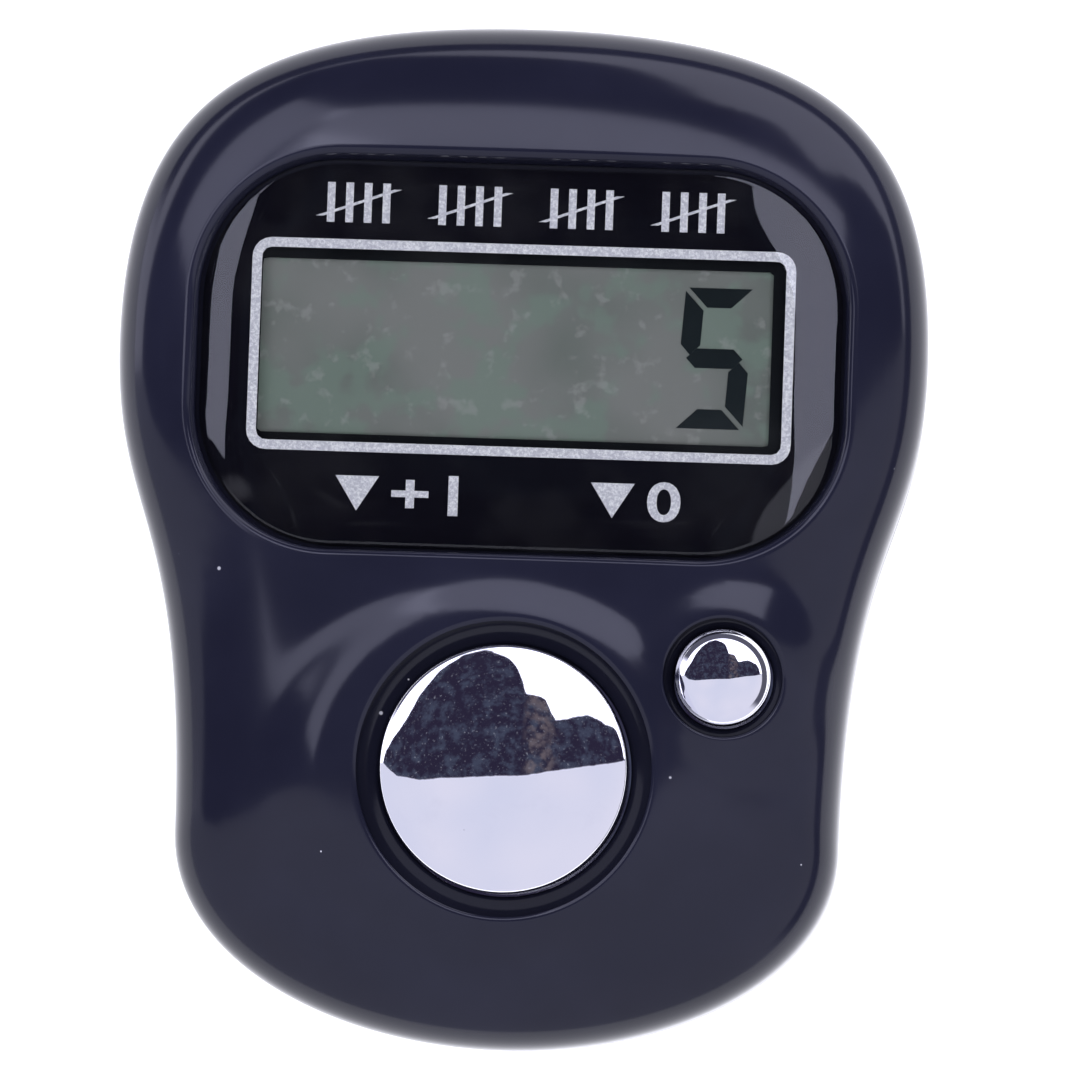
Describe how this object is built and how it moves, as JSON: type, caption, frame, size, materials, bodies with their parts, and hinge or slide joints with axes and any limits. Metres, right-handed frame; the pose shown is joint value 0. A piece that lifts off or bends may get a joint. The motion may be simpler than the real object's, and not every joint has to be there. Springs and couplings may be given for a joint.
{
  "type": "finger tally counter",
  "caption": "Pebble-shaped finger tally counter with a recessed display window, a large chrome count button, a small reset button and a soft finger band.",
  "frame": {"origin": "middle of the whole object's footprint, on the surface that the finger band's flat underside stands on", "axes": "+X to the right of a person who reads the display, +Y towards the top of the display, +Z out of the face"},
  "size_m": [0.0318, 0.04, 0.0327],
  "materials": {
    "case_front": "gloss moulded, navy black",
    "case_rear": "gloss moulded, black",
    "door": "gloss moulded, black",
    "band": "matt silicone",
    "lens": "polished clear acrylic over a black printed mask",
    "tape": "foam tape",
    "polarizer": "satin film",
    "glass": "polished",
    "reflector": "satin film",
    "surround": "moulded",
    "zebra": "soft, matt",
    "board": "solder mask",
    "resin": "poured resin",
    "ceramic": "fired ceramic",
    "resistor": "fired ceramic",
    "chrome": "plated, mirror bright",
    "key_rubber": "soft, matt",
    "carbon": "carbon loaded",
    "cell_steel": "nickel plated",
    "cell_seal": "moulded nylon",
    "cell_cap_steel": "nickel plated",
    "contact_brass": "rolled spring strip",
    "screw_steel": "zinc plated"
  },
  "bodies": {
    "case": {"front_shell": "case_front", "rear_shell": "case_rear", "finger_band": "band", "display_lens": "lens", "lens_adhesive": "tape", "lcd_front_polarizer": "polarizer", "lcd_front_glass": "glass", "lcd_rear_glass": "glass", "lcd_reflector": "reflector", "lcd_frame": "surround", "zebra_connector": "zebra", "circuit_board": "board", "chip_potting": "resin", "board_capacitors": "ceramic", "board_resistors": "resistor", "count_key_dome": "key_rubber", "reset_key_dome": "key_rubber", "cell_can": "cell_steel", "cell_gasket": "cell_seal", "cell_cap": "cell_cap_steel", "battery_spring": "contact_brass", "battery_side_contact": "contact_brass", "case_screws": "screw_steel", "board_screws": "screw_steel"},
    "count_button": {"count_button": "chrome", "count_contact_pill": "carbon"},
    "reset_button": {"reset_button": "chrome", "reset_contact_pill": "carbon"},
    "battery_door": {"battery_door": "door"}
  },
  "joints": [
    {"name": "count_button_press", "type": "slide", "parent": "case", "child": "count_button", "axis": [0, 0, -1], "range_m": [0, 0.0009], "stiffness_N_per_m": 900, "deforming": ["count_key_dome"]},
    {"name": "reset_button_press", "type": "slide", "parent": "case", "child": "reset_button", "axis": [0, 0, -1], "range_m": [0, 0.0007], "stiffness_N_per_m": 700, "deforming": ["reset_key_dome"]},
    {"name": "battery_door_slide", "type": "slide", "parent": "case", "child": "battery_door", "axis": [0, -1, 0], "range_m": [0, 0.013]}
  ]
}
